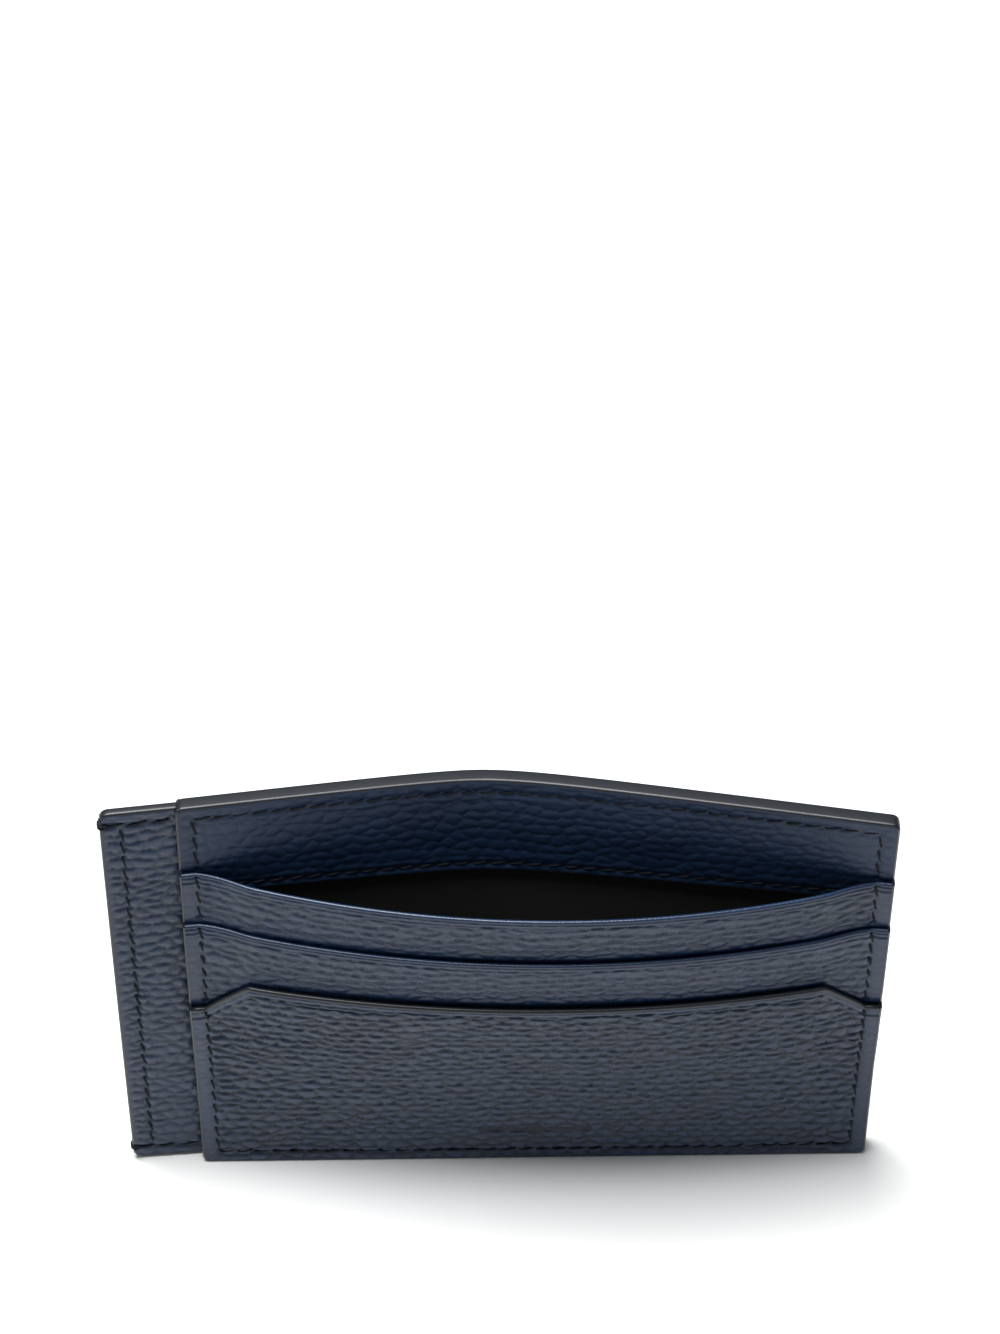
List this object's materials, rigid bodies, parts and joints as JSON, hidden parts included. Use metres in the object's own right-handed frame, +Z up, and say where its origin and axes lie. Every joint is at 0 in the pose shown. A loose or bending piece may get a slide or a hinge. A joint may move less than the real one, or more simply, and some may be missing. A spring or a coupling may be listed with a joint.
{
  "type": "card holder",
  "caption": "Slim pebbled-leather card holder standing upright: gaping lined main pocket, stepped card slots, cut-corner front pocket and a side-entry pocket strip.",
  "frame": {"origin": "middle of the sewn body's foot, on the plane where its front stack and back section meet", "axes": "+X to the right along the mouths, seen from the front, +Z up out of the main pocket, -Y towards the front pocket"},
  "size_m": [0.1108, 0.0186, 0.075],
  "materials": {
    "pebbled_leather": "pebbled, semi-matt, dark navy",
    "facing_leather": "pebbled, semi-matt, deep navy",
    "twill_lining": "matt black twill",
    "backing_cloth": "matt black plain weave",
    "stiffening_board": "pressed leather-fibre board",
    "edge_paint": "satin dark grey-brown edge paint",
    "thread": "waxed thread, near-black navy"
  },
  "bodies": {
    "root": {"back_panel": "pebbled_leather", "back_stiffener": "stiffening_board", "back_lining": "twill_lining", "inner_facing": "facing_leather", "side_pocket_rear_lining": "twill_lining", "side_pocket_front_lining": "twill_lining", "tab_rear_leather": "pebbled_leather", "tab_front_leather": "pebbled_leather", "front_lining": "twill_lining", "slot_1_backing": "backing_cloth", "slot_1_panel": "pebbled_leather", "slot_2_backing": "backing_cloth", "slot_2_panel": "pebbled_leather", "front_pocket_lining": "backing_cloth", "front_pocket": "pebbled_leather", "top_edge_paint": "edge_paint", "bottom_edge_paint": "edge_paint", "left_edge_paint": "edge_paint", "right_edge_paint": "edge_paint", "tab_edge_paint": "edge_paint", "pocket_edge_paint": "edge_paint", "top_seam_thread": "thread", "left_seam_thread": "thread", "right_seam_thread": "thread", "bottom_seam_thread": "thread", "facing_seam_thread": "thread", "tab_seam_thread": "thread", "tab_mouth_thread": "thread", "corner_wrap_thread": "thread"}
  },
  "joints": []
}
